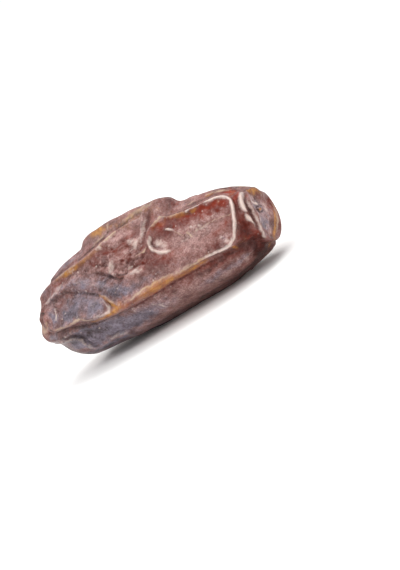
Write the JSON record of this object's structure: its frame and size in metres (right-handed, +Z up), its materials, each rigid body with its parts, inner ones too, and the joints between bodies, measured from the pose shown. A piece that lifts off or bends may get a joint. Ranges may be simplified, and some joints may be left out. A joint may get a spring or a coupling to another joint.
{
  "type": "dried date",
  "caption": "Whole dried date lying on its side: a long fruit with shrunken glossy skin, facets sagging between raised ridges, folds and creases, and a blunt rimmed end.",
  "frame": {"origin": "middle of the bounding box, on the surface that the fruit lies on", "axes": "+X along the fruit towards its blunt rimmed end, +Z up, -Y the side with the long front ridge"},
  "size_m": [0.0494, 0.0216, 0.0205],
  "materials": {
    "skin": "shrunken fruit skin, softly glossy on the ridges, with a dull pale bloom between them"
  },
  "bodies": {
    "root": {"date": "skin"}
  },
  "joints": []
}
